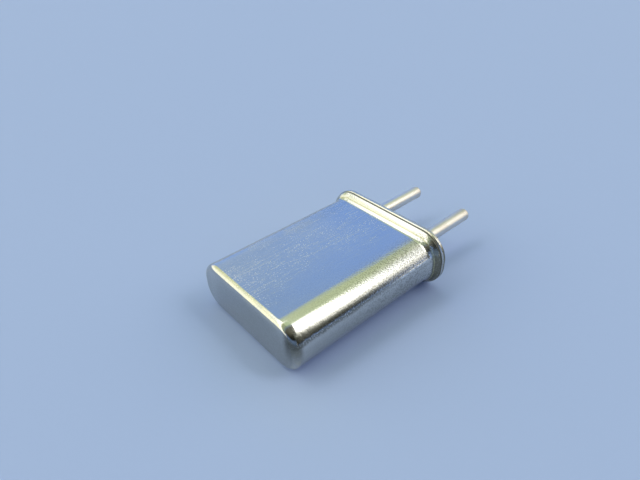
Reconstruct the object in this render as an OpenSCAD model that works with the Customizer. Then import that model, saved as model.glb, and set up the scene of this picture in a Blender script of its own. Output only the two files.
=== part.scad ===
// Quartz crystal unit: a disc of quartz in a flanged metal can, welded to a glass-sealed base
// with two plug-in pins. Millimetres.
//
// The pieces are drawn standing, with heights measured from the can's closed end towards the
// pins, and laid() puts them down on a broad side: +X runs across the can, +Y along the pins
// and +Z through the thickness. The lowest point of the flange is at z = 0.

/* [Can] */
// Width of the can over its side walls
can_w = 10; // [9.4:0.1:10.4]
// Thickness of the can over its broad walls
can_t = 3.6; // [3.4:0.1:4]
// Height of the case, from the closed end to the underside of the base
case_h = 13.4; // [12.6:0.1:13.8]
// Radius of the can's four long corners
corner_r = 1.55; // [1.3:0.05:1.65]
// Sheet thickness of the can
wall = 0.27; // [0.2:0.01:0.32]
// Outer radius round the closed end
end_r = 0.4; // [0.35:0.05:0.6]

/* [Can flange] */
// How far the flange stands out from the walls
flange_out = 0.42; // [0.36:0.02:0.5]
// Hollow radius where the wall turns outwards
flare_r = 0.5; // [0.4:0.05:0.6]
// Round radius on the shoulder of the flange
shoulder_r = 0.75; // [0.6:0.05:0.9]
// Angle at which the shoulder still leans where it meets the rim
rim_lean = 12; // [6:1:18]
// Radius on the rim's edge at the weld line
seam_r = 0.06; // [0.04:0.01:0.08]
// Radius just inside the mouth
mouth_r = 0.25; // [0.15:0.05:0.3]

/* [Base] */
// Sheet thickness of the base
base_wall = 0.4; // [0.34:0.02:0.46]
// How far the middle of the base is pressed up into the can
plug_h = 0.6; // [0.5:0.05:0.8]
// Gap all round between the pressed middle and the can
plug_gap = 0.06; // [0.03:0.01:0.1]
// Radius on the shoulder of the pressed middle
plug_r = 0.25; // [0.1:0.05:0.3]
// Radius on the lip of the hollow underneath
lip_r = 0.2; // [0.1:0.05:0.3]
// Radius on the base's rim beside the weld line
rim_r = 0.16; // [0.08:0.02:0.18]
// Radius on the base's lower outer edge
foot_r = 0.14; // [0.08:0.02:0.16]
// Height of the drawn collar round each pin, above the pressed middle
collar_h = 0.7; // [0.4:0.1:0.9]
// Wall of the drawn collar
collar_wall = 0.2; // [0.16:0.02:0.26]
// Radius at the entry of the collar's bore
entry_r = 0.15; // [0.05:0.05:0.2]

/* [Glass seals] */
// Width of the glass between the pin's neck and the collar
glass_w = 0.45; // [0.36:0.01:0.5]
// How far each end of the glass stays back from the end of its straight bore
glass_back = 0.03; // [0:0.01:0.15]
// Depth of the hollow in each end of the glass
glass_dip = 0.08; // [0.04:0.01:0.14]

/* [Pins] */
// Distance between the axes of the pins
pin_spacing = 4.88; // [4.7:0.02:5.08]
// Diameter of a pin below the base
pin_d = 1.02; // [0.8:0.02:1.06]
// Diameter of the neck of a pin, which passes through the glass
neck_d = 0.7; // [0.5:0.02:0.72]
// Length of a pin below the base
pin_out = 6.55; // [5:0.05:7.5]
// Length of a pin above its collar
pin_in = 0.7; // [0.5:0.05:1]
// Radius round the tip of a pin
tip_r = 0.36; // [0.1:0.02:0.38]

/* [Quartz] */
// Diameter of the quartz disc
blank_d = 8; // [7.6:0.1:8.6]
// Thickness of the quartz disc
blank_t = 0.2; // [0.16:0.01:0.3]
// Bevel round the edge of the disc
blank_bevel = 0.05; // [0.02:0.01:0.07]
// Diameter of the metal film on each face
film_d = 4.8; // [4:0.1:5.6]
// Thickness of the metal film
film_t = 0.02; // [0.01:0.005:0.03]
// Width of the strip of film that runs to the edge
tab_w = 1; // [0.6:0.1:1.4]

/* [Spring clips] */
// Thickness of the strip
strip_t = 0.12; // [0.08:0.01:0.16]
// Width of the strip
strip_w = 1.4; // [1.2:0.1:1.8]
// Inner radius of the bend
bend_r = 0.3; // [0.1:0.05:0.5]
// Length of the slot that holds the disc's edge
slot_l = 2.2; // [2:0.1:2.6]
// Width of the slot
slot_w = 0.5; // [0.4:0.02:0.6]
// Strip left past the slot
slot_end = 0.5; // [0.3:0.1:0.8]
// How far the foot runs on past the pin's end, towards the middle
foot_past = 0.15; // [0:0.05:0.4]
// Diameter of each dab of conductive cement
dab_d = 1; // [0.8:0.05:1.1]

/* [Hidden] */
$fn = 96;

plated_steel = [0.74, 0.75, 0.73];
pin_metal = [0.80, 0.78, 0.72];
seal_glass = [0.20, 0.27, 0.25];
spring_metal = [0.66, 0.64, 0.58];
quartz = [0.86, 0.91, 0.93];
silver_film = [0.88, 0.88, 0.86];
silver_cement = [0.55, 0.55, 0.54];

left = -1;
right = 1;
front = -1;
back = 1;
eps = 0.01; // how far a cutter runs past the face that it cuts
lap = 0.1; // width of the flat ring that joins a wall to the plate inside it

// The case, by height from the closed end
mouth_h = case_h - base_wall;
rim_h = mouth_h - seam_r; // the shoulder ends here, and the rim's round edge begins
// The centre of the shoulder's arc
shoulder_in = flange_out - shoulder_r * cos(rim_lean);
shoulder_h = rim_h + shoulder_r * sin(rim_lean);
// The wall turns out through this angle before the shoulder turns it back
flare_turn = acos((flare_r - shoulder_in) / (flare_r + shoulder_r));
flare_h = shoulder_h - (flare_r + shoulder_r) * sin(flare_turn);
// The point where the hollow radius becomes the round one
turn_out = flare_r * (1 - cos(flare_turn));
turn_h = flare_h + flare_r * sin(flare_turn);
flange_t = can_t + 2 * flange_out;

// The base
plug_in = wall + plug_gap; // the pressed middle's wall, measured in from the can's outside
plug_top = mouth_h - plug_h;
hollow_in = plug_in + base_wall;
hollow_h = plug_top + base_wall;
collar_top = plug_top - collar_h;

// The pins and their seals
pin_r = pin_d / 2;
neck_r = neck_d / 2;
pin_x = pin_spacing / 2;
pin_inner_end = collar_top - pin_in;
overall_l = case_h + pin_out;
bore_r = neck_r + glass_w;
glass_top = collar_top + glass_back;
glass_bottom = hollow_h - entry_r - glass_back;
// Radius of the hollow in the glass, from its width and depth
dip_r = (pow(glass_w / 2, 2) + pow(glass_dip, 2)) / (2 * glass_dip);

// The quartz disc stands midway between the closed end and the clips' feet
foot_h = pin_inner_end - strip_t;
disc_h = (wall + foot_h) / 2;
blank_r = blank_d / 2;
clip_inner_x = blank_r - strip_t; // the clip's outer face is flush with the disc's edge
clip_top = disc_h - slot_l / 2 - slot_end;
film_edge_r = blank_r - blank_bevel;

// Lays the standing crystal down on a broad side, centred over the origin.
module laid() {
    translate([0, -overall_l / 2, flange_t / 2]) rotate([-90, 0, 0]) children();
}

// A rectangle with round corners, centred on the origin.
module round_rect(w, t, r) {
    square([w - 2 * r, t], center = true);
    square([w, t - 2 * r], center = true);
    for (x = [left, right], y = [front, back])
        translate([x * (w / 2 - r), y * (t / 2 - r)]) circle(r);
}

// The can's outline, moved in by some distance, as a flat plate between two heights.
module case_plate(inset, from, to) {
    translate([0, 0, from])
        linear_extrude(to - from)
            round_rect(can_w - 2 * inset, can_t - 2 * inset, corner_r - inset);
}

// Carries a wall profile round the can's outline. In the profile, x is the distance outwards
// from the can's outer wall and y is the height.
module round_the_case() {
    side = can_t - 2 * corner_r;
    broad = can_w - 2 * corner_r;
    for (turn = [0, 1]) rotate(180 * turn) {
        translate([broad / 2, side / 2, 0]) {
            rotate([90, 0, 0]) linear_extrude(side) translate([corner_r, 0]) children();
            rotate_extrude(angle = 90) translate([corner_r, 0]) children();
        }
        translate([-broad / 2, side / 2, 0]) {
            rotate([90, 0, 90]) linear_extrude(broad) translate([corner_r, 0]) children();
            rotate(90) rotate_extrude(angle = 90) translate([corner_r, 0]) children();
        }
    }
}

// What rounding takes off a square corner at the origin, for a body in the third quadrant.
module corner_waste(r) {
    difference() {
        translate([-r, -r]) square(r + eps);
        translate([-r, -r]) circle(r);
    }
}

// Section of the can's wall: closed end, wall, flare and flange.
module can_section() {
    difference() {
        union() {
            // the turn of the closed end, up to the flat plate
            intersection() {
                translate([-end_r, end_r]) circle(end_r);
                translate([-end_r, 0]) square(end_r);
            }
            translate([-end_r - lap, 0]) square([lap, wall]);
            translate([-wall, end_r]) square([wall, flare_h - end_r]);
            difference() {
                polygon([[-wall, flare_h], [0, flare_h], [turn_out, turn_h],
                         [flange_out, rim_h], [flange_out, mouth_h], [-wall, mouth_h]]);
                translate([flare_r, flare_h]) circle(flare_r);
            }
            intersection() {
                translate([shoulder_in, shoulder_h]) circle(shoulder_r);
                polygon([[turn_out, turn_h], [flange_out, turn_h], [flange_out, rim_h]]);
            }
        }
        translate([-end_r, end_r]) circle(end_r - wall);
        translate([flange_out, mouth_h]) corner_waste(seam_r);
        translate([-wall, mouth_h]) mirror([1, 0]) corner_waste(mouth_r);
    }
}

// The drawn can: one sheet, closed at the end and turned out into a flange at the mouth.
module can() {
    color(plated_steel) laid() {
        round_the_case() can_section();
        case_plate(end_r + lap / 2, 0, wall);
    }
}

// Section of the base's rim: the flange, and the wall of the pressed middle.
module base_section() {
    translate([-hollow_in - lap, plug_top]) square([lap, base_wall]);
    difference() {
        polygon([[-hollow_in, plug_top], [-plug_in, plug_top], [-plug_in, mouth_h],
                 [flange_out, mouth_h], [flange_out, case_h], [-hollow_in, case_h]]);
        translate([-plug_in, plug_top]) mirror([0, 1]) corner_waste(plug_r);
        translate([flange_out, mouth_h]) mirror([0, 1]) corner_waste(rim_r);
        translate([flange_out, case_h]) corner_waste(foot_r);
        translate([-hollow_in, case_h]) mirror([1, 0]) corner_waste(lip_r);
    }
}

// Opening of a collar's bore, with a round entry from below.
module collar_bore() {
    translate([0, 0, collar_top - eps]) cylinder(h = case_h - collar_top + 2 * eps, r = bore_r);
    rotate_extrude() translate([bore_r, hollow_h]) difference() {
        translate([-eps, -entry_r]) square(entry_r + eps);
        translate([entry_r, -entry_r]) circle(entry_r);
    }
}

// The pressed base: flange, raised middle and a drawn collar for each pin.
module base() {
    color(plated_steel) laid() difference() {
        union() {
            round_the_case() base_section();
            case_plate(hollow_in + lap / 2, plug_top, hollow_h);
            for (side = [left, right])
                translate([side * pin_x, 0, collar_top])
                    cylinder(h = hollow_h - collar_top, r = bore_r + collar_wall);
        }
        for (side = [left, right]) translate([side * pin_x, 0, 0]) collar_bore();
    }
}

// The glass round one pin, hollowed at both ends where it crept up the metal.
module glass_seal(side) {
    color(seal_glass) laid() translate([side * pin_x, 0, 0]) rotate_extrude() difference() {
        translate([neck_r, glass_top]) square([glass_w, glass_bottom - glass_top]);
        for (end = [glass_top + glass_dip - dip_r, glass_bottom - glass_dip + dip_r])
            translate([neck_r + glass_w / 2, end]) circle(dip_r);
    }
}

// One straight pin: a neck up through the glass, a shoulder level with the underside of the
// base, and a round tip.
module pin(side) {
    color(pin_metal) laid() translate([side * pin_x, 0, 0]) rotate_extrude() difference() {
        polygon([[0, pin_inner_end], [neck_r, pin_inner_end], [neck_r, case_h],
                 [pin_r, case_h], [pin_r, overall_l], [0, overall_l]]);
        translate([pin_r, overall_l]) corner_waste(tip_r);
    }
}

// Side view of a clip: a foot on the pin's inner end, a bend and an upright.
module clip_section() {
    foot_start = pin_x - neck_r - foot_past;
    bend_x = clip_inner_x - bend_r;
    bend_h = foot_h - bend_r;
    translate([foot_start, foot_h]) square([bend_x - foot_start, strip_t]);
    translate([clip_inner_x, clip_top]) square([strip_t, bend_h - clip_top]);
    intersection() {
        translate([bend_x, bend_h]) difference() {
            circle(bend_r + strip_t);
            circle(bend_r);
        }
        translate([bend_x, bend_h]) square(bend_r + strip_t);
    }
}

// A slotted strip of spring metal that carries one edge of the quartz disc.
module clip_body(side) {
    mirror([side == left ? 1 : 0, 0, 0]) difference() {
        rotate([90, 0, 0]) linear_extrude(strip_w, center = true) clip_section();
        translate([clip_inner_x + strip_t / 2, 0, disc_h])
            cube([strip_t + 2 * eps, slot_w, slot_l], center = true);
    }
}

// The clip on one side, with its foot on the pin's end.
module spring_clip(side) {
    color(spring_metal) laid() clip_body(side);
}

// The quartz disc, bevelled round its edge on both faces.
module disc_body() {
    flat = blank_t / 2 - blank_bevel;
    translate([0, 0, disc_h]) rotate([90, 0, 0]) rotate_extrude()
        polygon([[0, -blank_t / 2], [film_edge_r, -blank_t / 2], [blank_r, -flat],
                 [blank_r, flat], [film_edge_r, blank_t / 2], [0, blank_t / 2]]);
}

// The disc, which stands on edge between the two clips.
module quartz_disc() {
    color(quartz) laid() disc_body();
}

// Metal film on one face: a round pad and a strip out to the clip on one side.
module film_body(face, side) {
    translate([0, face * (blank_t + film_t) / 2, disc_h])
        rotate([90, 0, 0]) linear_extrude(film_t, center = true) intersection() {
            union() {
                circle(film_d / 2);
                translate([side * blank_r / 2, 0]) square([blank_r, tab_w], center = true);
            }
            circle(film_edge_r);
        }
}

// The film on the front face, led out to the left clip.
module electrode_front() {
    color(silver_film) laid() film_body(front, left);
}

// The film on the back face, led out to the right clip.
module electrode_back() {
    color(silver_film) laid() film_body(back, right);
}

// A dab of conductive cement that fills the slot round the disc's edge and the end of the film.
module cement(side) {
    color(silver_cement) laid() difference() {
        translate([side * (blank_r - strip_t / 2), 0, disc_h]) sphere(d = dab_d);
        clip_body(side);
        disc_body();
        film_body(front, left);
        film_body(back, right);
    }
}

can();
base();
glass_seal(left);  // glass_seal_left
glass_seal(right);  // glass_seal_right
pin(left);  // pin_left
pin(right);  // pin_right
spring_clip(left);  // spring_clip_left
spring_clip(right);  // spring_clip_right
quartz_disc();
electrode_front();
electrode_back();
cement(left);  // cement_left
cement(right);  // cement_right
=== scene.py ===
"""A quartz crystal unit in its flanged metal can: pieces, finishes, studio and camera.

The can, the pressed base, the glass seals and the pins are smooth surfaces worked out here, and
they stand for the plain solids of the same names. The pieces inside the sealed can keep their
solids and get a finish of their own. Sizes in the classes are in millimetres, as on a drawing,
and every mesh is in metres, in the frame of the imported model: X across the can, Y along the
pins, Z up through the thickness.
"""

import logging
import math
from collections.abc import Sequence
from dataclasses import astuple, dataclass, field
from enum import Enum

import bpy
import numpy as np
from mathutils import Matrix, Vector


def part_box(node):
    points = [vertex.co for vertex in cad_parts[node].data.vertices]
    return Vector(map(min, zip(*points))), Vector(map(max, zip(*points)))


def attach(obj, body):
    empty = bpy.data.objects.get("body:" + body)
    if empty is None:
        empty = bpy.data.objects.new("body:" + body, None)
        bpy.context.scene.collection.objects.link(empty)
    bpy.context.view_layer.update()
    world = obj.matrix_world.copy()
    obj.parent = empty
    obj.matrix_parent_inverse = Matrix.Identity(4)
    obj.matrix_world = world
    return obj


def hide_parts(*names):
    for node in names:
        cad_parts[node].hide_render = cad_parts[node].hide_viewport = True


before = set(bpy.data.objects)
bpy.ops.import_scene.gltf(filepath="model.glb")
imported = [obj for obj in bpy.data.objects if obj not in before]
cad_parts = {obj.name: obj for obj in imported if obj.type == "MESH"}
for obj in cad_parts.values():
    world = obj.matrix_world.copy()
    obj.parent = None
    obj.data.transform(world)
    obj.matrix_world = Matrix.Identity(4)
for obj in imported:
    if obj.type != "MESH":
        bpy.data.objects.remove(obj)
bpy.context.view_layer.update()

MM = 0.001
BODY = "root"
IMAGE_WIDTH_PX = 640
# points on the same mesh that are this close are welded into one
WELD_MM = 2e-5
# an outer edge with this radius, or a smaller one, wears most
EDGE_RADIUS_MM = 0.4
# a turned section starts and ends this close to its axis
AXIS_MM = 1e-4
# a straight move that would have no length has this one
LEAST_MOVE_MM = 1e-5
# a further row of points this close to each end holds a straight wall flat
GUARD_MM = 0.01
LONG_GUARD_MM = 0.02

log = logging.getLogger("crystal")

Colour = tuple[float, float, float]
# a span holds the value at which something is absent and the value at which it is full
Span = tuple[float, float]
Socket = bpy.types.NodeSocket
Amount = Socket | float
Shade = Colour | Socket
Layer = tuple[Amount, Shade]


class Side(Enum):
    """The two ends of the row of pins."""

    LEFT = -1
    RIGHT = 1


def running(steps: np.ndarray) -> np.ndarray:
    """The way travelled before the first step and after each one: sums of the steps so far."""
    return np.concatenate([[0.0], np.cumsum(steps)])


def metres(span: Span) -> Span:
    """A span of places in mm, in metres."""
    return span[0] * MM, span[1] * MM


# ---------------------------------------------------------------------------------------------
# Sections: curves drawn with a pen that never makes a sharp corner
# ---------------------------------------------------------------------------------------------


@dataclass(frozen=True)
class Section:
    """A smooth curve in a plane of (distance outwards, height), in millimetres.

    The material lies to the left of the direction of travel, so that a normal points right.
    """

    out: np.ndarray
    height: np.ndarray
    normal_out: np.ndarray
    normal_height: np.ndarray
    bend: np.ndarray
    along: np.ndarray


class SectionPen:
    """Draws a section move by move. A move leaves in the direction in which the last arrived."""

    def __init__(self, out: float, height: float, heading_deg: float,
                 step_deg: float = 5.0) -> None:
        """Puts the pen down.

        Args:
            out: Distance outwards of the first point, in mm.
            height: Height of the first point, in mm.
            heading_deg: Direction of travel; 0 is outwards and 90 is up in height.
            step_deg: Largest turn between two points of an arc.
        """
        self.position = np.array([out, height], float)
        self.heading = math.radians(heading_deg)
        self.step = math.radians(step_deg)
        self.points: list[np.ndarray] = [self.position[None, :]]
        self.headings: list[np.ndarray] = [np.array([self.heading])]
        self.bends: list[np.ndarray] = [np.zeros(1)]

    def forward(self, length: float, steps: int = 1, guard: float = 0.0) -> "SectionPen":
        """Draws a straight line.

        Args:
            length: Length of the line, in mm.
            steps: Number of equal parts between the guard points.
            guard: Distance from each end at which a further point holds the surface flat.

        Returns:
            The pen, so that moves can be chained.
        """
        stops = np.linspace(guard, length - guard, steps + 1)
        if guard > 0:
            stops = np.concatenate([stops, [length]])
        else:
            stops = stops[1:]
        direction = np.array([math.cos(self.heading), math.sin(self.heading)])
        self.points.append(self.position + stops[:, None] * direction)
        self.headings.append(np.full(len(stops), self.heading))
        self.bends.append(np.zeros(len(stops)))
        self.position = self.position + length * direction
        return self

    def turn(self, radius: float, angle_deg: float) -> "SectionPen":
        """Draws an arc: a point at angle a on a circle about the centre of the turn.

        Args:
            radius: Radius of the arc, in mm.
            angle_deg: Angle turned through; positive turns left, which rounds an outer corner.

        Returns:
            The pen, so that moves can be chained.
        """
        angle = math.radians(angle_deg)
        side = 1.0 if angle > 0 else -1.0
        to_centre = np.array([-math.sin(self.heading), math.cos(self.heading)]) * side
        centre = self.position + radius * to_centre
        steps = max(2, math.ceil(abs(angle) / self.step))
        turned = np.linspace(0.0, angle, steps + 1)[1:]
        headings = self.heading + turned
        spokes = np.stack([np.sin(headings), -np.cos(headings)], axis=1) * side
        self.points.append(centre + radius * spokes)
        self.headings.append(headings)
        self.bends.append(np.full(steps, side / radius))
        self.position = self.points[-1][-1]
        self.heading += angle
        return self

    def section(self) -> Section:
        """Lifts the pen.

        Returns:
            What it drew, with normals to the right of the travel.
        """
        points = np.concatenate(self.points)
        headings = np.concatenate(self.headings)
        steps = np.linalg.norm(np.diff(points, axis=0), axis=1)
        return Section(
            out=points[:, 0],
            height=points[:, 1],
            normal_out=np.sin(headings),
            normal_height=-np.cos(headings),
            bend=np.concatenate(self.bends),
            along=running(steps),
        )


# ---------------------------------------------------------------------------------------------
# Paths that carry a section, and the patches that they leave
# ---------------------------------------------------------------------------------------------


@dataclass(frozen=True)
class Spokes:
    """A closed path seen along the pins: feet and outward directions of its spokes, in mm.

    A point at distance d outwards lies at foot + (reach + d) * direction.
    """

    feet: np.ndarray
    directions: np.ndarray
    reach: float

    def around(self, out: float = 0.0) -> np.ndarray:
        """Arc length from the first spoke to each spoke and back to the first, in mm."""
        rim = self.feet + (self.reach + out) * self.directions
        return running(np.linalg.norm(np.roll(rim, -1, axis=0) - rim, axis=1))

    def ring(self, out: float) -> np.ndarray:
        """The closed path at one distance outwards, as (spokes, 2) points in mm."""
        return self.feet + (self.reach + out) * self.directions


@dataclass(frozen=True)
class Patch:
    """A grid surface: rows along a section and columns round a path, in mm."""

    points: np.ndarray
    normals: np.ndarray
    bend: np.ndarray
    across: np.ndarray
    along: np.ndarray
    first_is_pole: bool = False
    last_is_pole: bool = False
    rows_close: bool = False


@dataclass(frozen=True)
class Layout:
    """Where the standing drawing lies in the model: its middle height and its mid-plane."""

    length: float
    mid_z: float

    def place(self, across: np.ndarray, height: np.ndarray) -> np.ndarray:
        """Lays points of the standing drawing down.

        Args:
            across: Points in the plane across the pins, (..., 2), in mm.
            height: Heights from the closed end, in mm, one for each point.

        Returns:
            Points (..., 3): x is across, y is the height from mid-length, z is up.
        """
        x, z = across[..., 0], across[..., 1]
        y = np.broadcast_to(height, x.shape) - self.length / 2
        return np.stack([x, y, z + self.mid_z], axis=-1)


def carry(section: Section, path: Spokes, layout: Layout, rows_close: bool = False) -> Patch:
    """Carries a section round a closed path.

    Row i and column j of the grid is foot_j + (reach + out_i) * direction_j across the pins, at
    height_i; its normal is normal_out_i * direction_j with normal_height_i along the pins.

    Args:
        section: The curve that is carried.
        path: The closed path.
        layout: Where the drawing lies in the model.
        rows_close: True where the section itself is closed, as for a ring of glass.

    Returns:
        The patch, with arc lengths round the path and along the section for its pattern.
    """
    distance = (path.reach + section.out)[:, None, None]
    across = path.feet[None] + distance * path.directions[None]
    points = layout.place(across, section.height[:, None])
    normals = np.stack(
        [
            section.normal_out[:, None] * path.directions[None, :, 0],
            np.broadcast_to(section.normal_height[:, None], across.shape[:2]),
            section.normal_out[:, None] * path.directions[None, :, 1],
        ],
        axis=-1,
    )
    return Patch(points, normals, section.bend, path.around(), section.along, rows_close=rows_close)


def flat_cap(path: Spokes, layout: Layout, out: float, height: float, upwards: bool,
             rings: int, along: float) -> Patch:
    """Fills a closed path with a flat face: ring k is the path drawn in towards its middle.

    Args:
        path: The closed path.
        layout: Where the drawing lies in the model.
        out: Distance outwards of the edge of the face, in mm.
        height: Height of the face, in mm.
        upwards: True where the face looks towards greater heights.
        rings: Number of rings between the edge and the middle.
        along: Arc length of the pattern at the edge, in mm.

    Returns:
        The patch, whose pole is the middle of the face.
    """
    edge = path.ring(out)
    share = np.linspace(0.0, 1.0, rings + 1)
    if upwards:
        share = share[::-1]
    points = layout.place(share[:, None, None] * edge[None], np.full((len(share), 1), height))
    normals = np.zeros_like(points)
    normals[..., 1] = 1.0 if upwards else -1.0
    depth = np.linalg.norm(edge, axis=1).mean()
    travelled = along + (1 - share) * depth if upwards else along - (1 - share) * depth
    return Patch(points, normals, np.zeros(len(share)), path.around(), travelled,
                 first_is_pole=not upwards, last_is_pole=upwards)


class SheetOfPatches:
    """Joins patches into one closed mesh: shared edges are welded and every face looks outwards."""

    def __init__(self) -> None:
        """Starts with no patch."""
        self.points: list[np.ndarray] = []
        self.normals: list[np.ndarray] = []
        self.bends: list[np.ndarray] = []
        self.faces: list[np.ndarray] = []
        self.uvs: list[np.ndarray] = []
        self.count = 0

    def add(self, patch: Patch) -> "SheetOfPatches":
        """Adds a patch whose columns close on themselves.

        The corners of the face between rows i, i + 1 and columns j, j + 1 run
        (i, j), (i + 1, j), (i + 1, j + 1), (i, j + 1). A row that is a pole gives triangles.

        Args:
            patch: The grid to add.

        Returns:
            The sheet, so that calls can be chained.
        """
        rows, columns = patch.points.shape[:2]
        upper = np.arange(rows if patch.rows_close else rows - 1)
        i, j = np.meshgrid(upper, np.arange(columns), indexing="ij")
        below = (i + 1) % rows
        beside = (j + 1) % columns
        corners = np.stack([i * columns + j, below * columns + j,
                            below * columns + beside, i * columns + beside], axis=-1)
        along = np.append(patch.along, 2 * patch.along[-1] - patch.along[-2])
        u0, u1 = patch.across[j], patch.across[j + 1]
        v0, v1 = along[i], along[i + 1]
        uv = np.stack([np.stack([u0, v0], -1), np.stack([u0, v1], -1),
                       np.stack([u1, v1], -1), np.stack([u1, v0], -1)], axis=-2) * MM
        keep = slice(int(patch.first_is_pole), len(upper) - int(patch.last_is_pole))
        self._put(corners[keep].reshape(-1, 4), uv[keep].reshape(-1, 4, 2))
        if patch.first_is_pole:
            self._put(corners[0][:, 1:], uv[0][:, 1:], first=corners[0][:, :1])
        if patch.last_is_pole:
            self._put(corners[-1][:, [0, 1, 3]], uv[-1][:, [0, 1, 3]])
        self.points.append(patch.points.reshape(-1, 3) * MM)
        self.normals.append(patch.normals.reshape(-1, 3))
        self.bends.append(np.repeat(patch.bend, columns))
        self.count += rows * columns
        return self

    def _put(self, corners: np.ndarray, uv: np.ndarray, first: np.ndarray | None = None) -> None:
        """Keeps faces with the UVs of their corners.

        Args:
            corners: Numbers of the corners of each face, without the first where it is given.
            uv: UVs of the corners.
            first: The first corner of each face, where that is a pole.
        """
        if first is not None:
            corners = np.concatenate([first, corners[:, [0, 1]]], axis=1)
            uv = uv[:, [0, 0, 1]]
        self.faces.append(corners + self.count)
        self.uvs.append(uv)

    def build(self, name: str) -> bpy.types.Object:
        """Welds the patches and makes the object.

        Args:
            name: Name of the object and its mesh.

        Returns:
            The object, at the origin, with a UV map "wall" in metres and an attribute "edge"
            that is 1 where the surface is tightly rounded outwards.
        """
        points = np.concatenate(self.points)
        _, first, where = np.unique(np.round(points / (MM * WELD_MM)).astype(np.int64), axis=0,
                                    return_index=True, return_inverse=True)
        where = where.reshape(-1)
        normals = np.zeros((len(first), 3))
        np.add.at(normals, where, np.concatenate(self.normals))
        normals /= np.linalg.norm(normals, axis=1)[:, None]
        bend = np.full(len(first), -np.inf)
        np.maximum.at(bend, where, np.concatenate(self.bends))
        vertices = points[first]
        faces = [where[f] for f in self.faces]
        if signed_volume(vertices, faces) < 0:
            raise ValueError(f"{name} is inside out")
        mesh = bpy.data.meshes.new(name)
        mesh.from_pydata(vertices, [], [row for f in faces for row in f.tolist()])
        mesh.shade_smooth()
        mesh.attributes.new("edge", "FLOAT", "POINT")
        mesh.uv_layers.new(name="wall")
        roundness = np.clip(bend * EDGE_RADIUS_MM, 0.0, 1.0)
        mesh.attributes["edge"].data.foreach_set("value", roundness.astype(np.float32))
        unrolled = np.concatenate([u.reshape(-1) for u in self.uvs])
        mesh.uv_layers["wall"].uv.foreach_set("vector", unrolled.astype(np.float32))
        mesh.normals_split_custom_set_from_vertices(normals.tolist())
        mesh.update()
        made = bpy.data.objects.new(name, mesh)
        bpy.context.scene.collection.objects.link(made)
        return made


def signed_volume(vertices: np.ndarray, faces: list[np.ndarray]) -> float:
    """Volume inside a closed mesh: a sixth of the sum of a . (b x c) over its triangles.

    Args:
        vertices: Points (n, 3).
        faces: Arrays of triangles or quads, as rows of corner numbers.

    Returns:
        The volume, which is negative where the faces look inwards.
    """
    total = 0.0
    for block in faces:
        for k in range(1, block.shape[1] - 1):
            a, b, c = (vertices[block[:, n]] for n in (0, k, k + 1))
            total += float(np.einsum("ij,ij->", a, np.cross(b, c)))
    return total / 6


# ---------------------------------------------------------------------------------------------
# Node recipes for the finishes
# ---------------------------------------------------------------------------------------------


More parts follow.
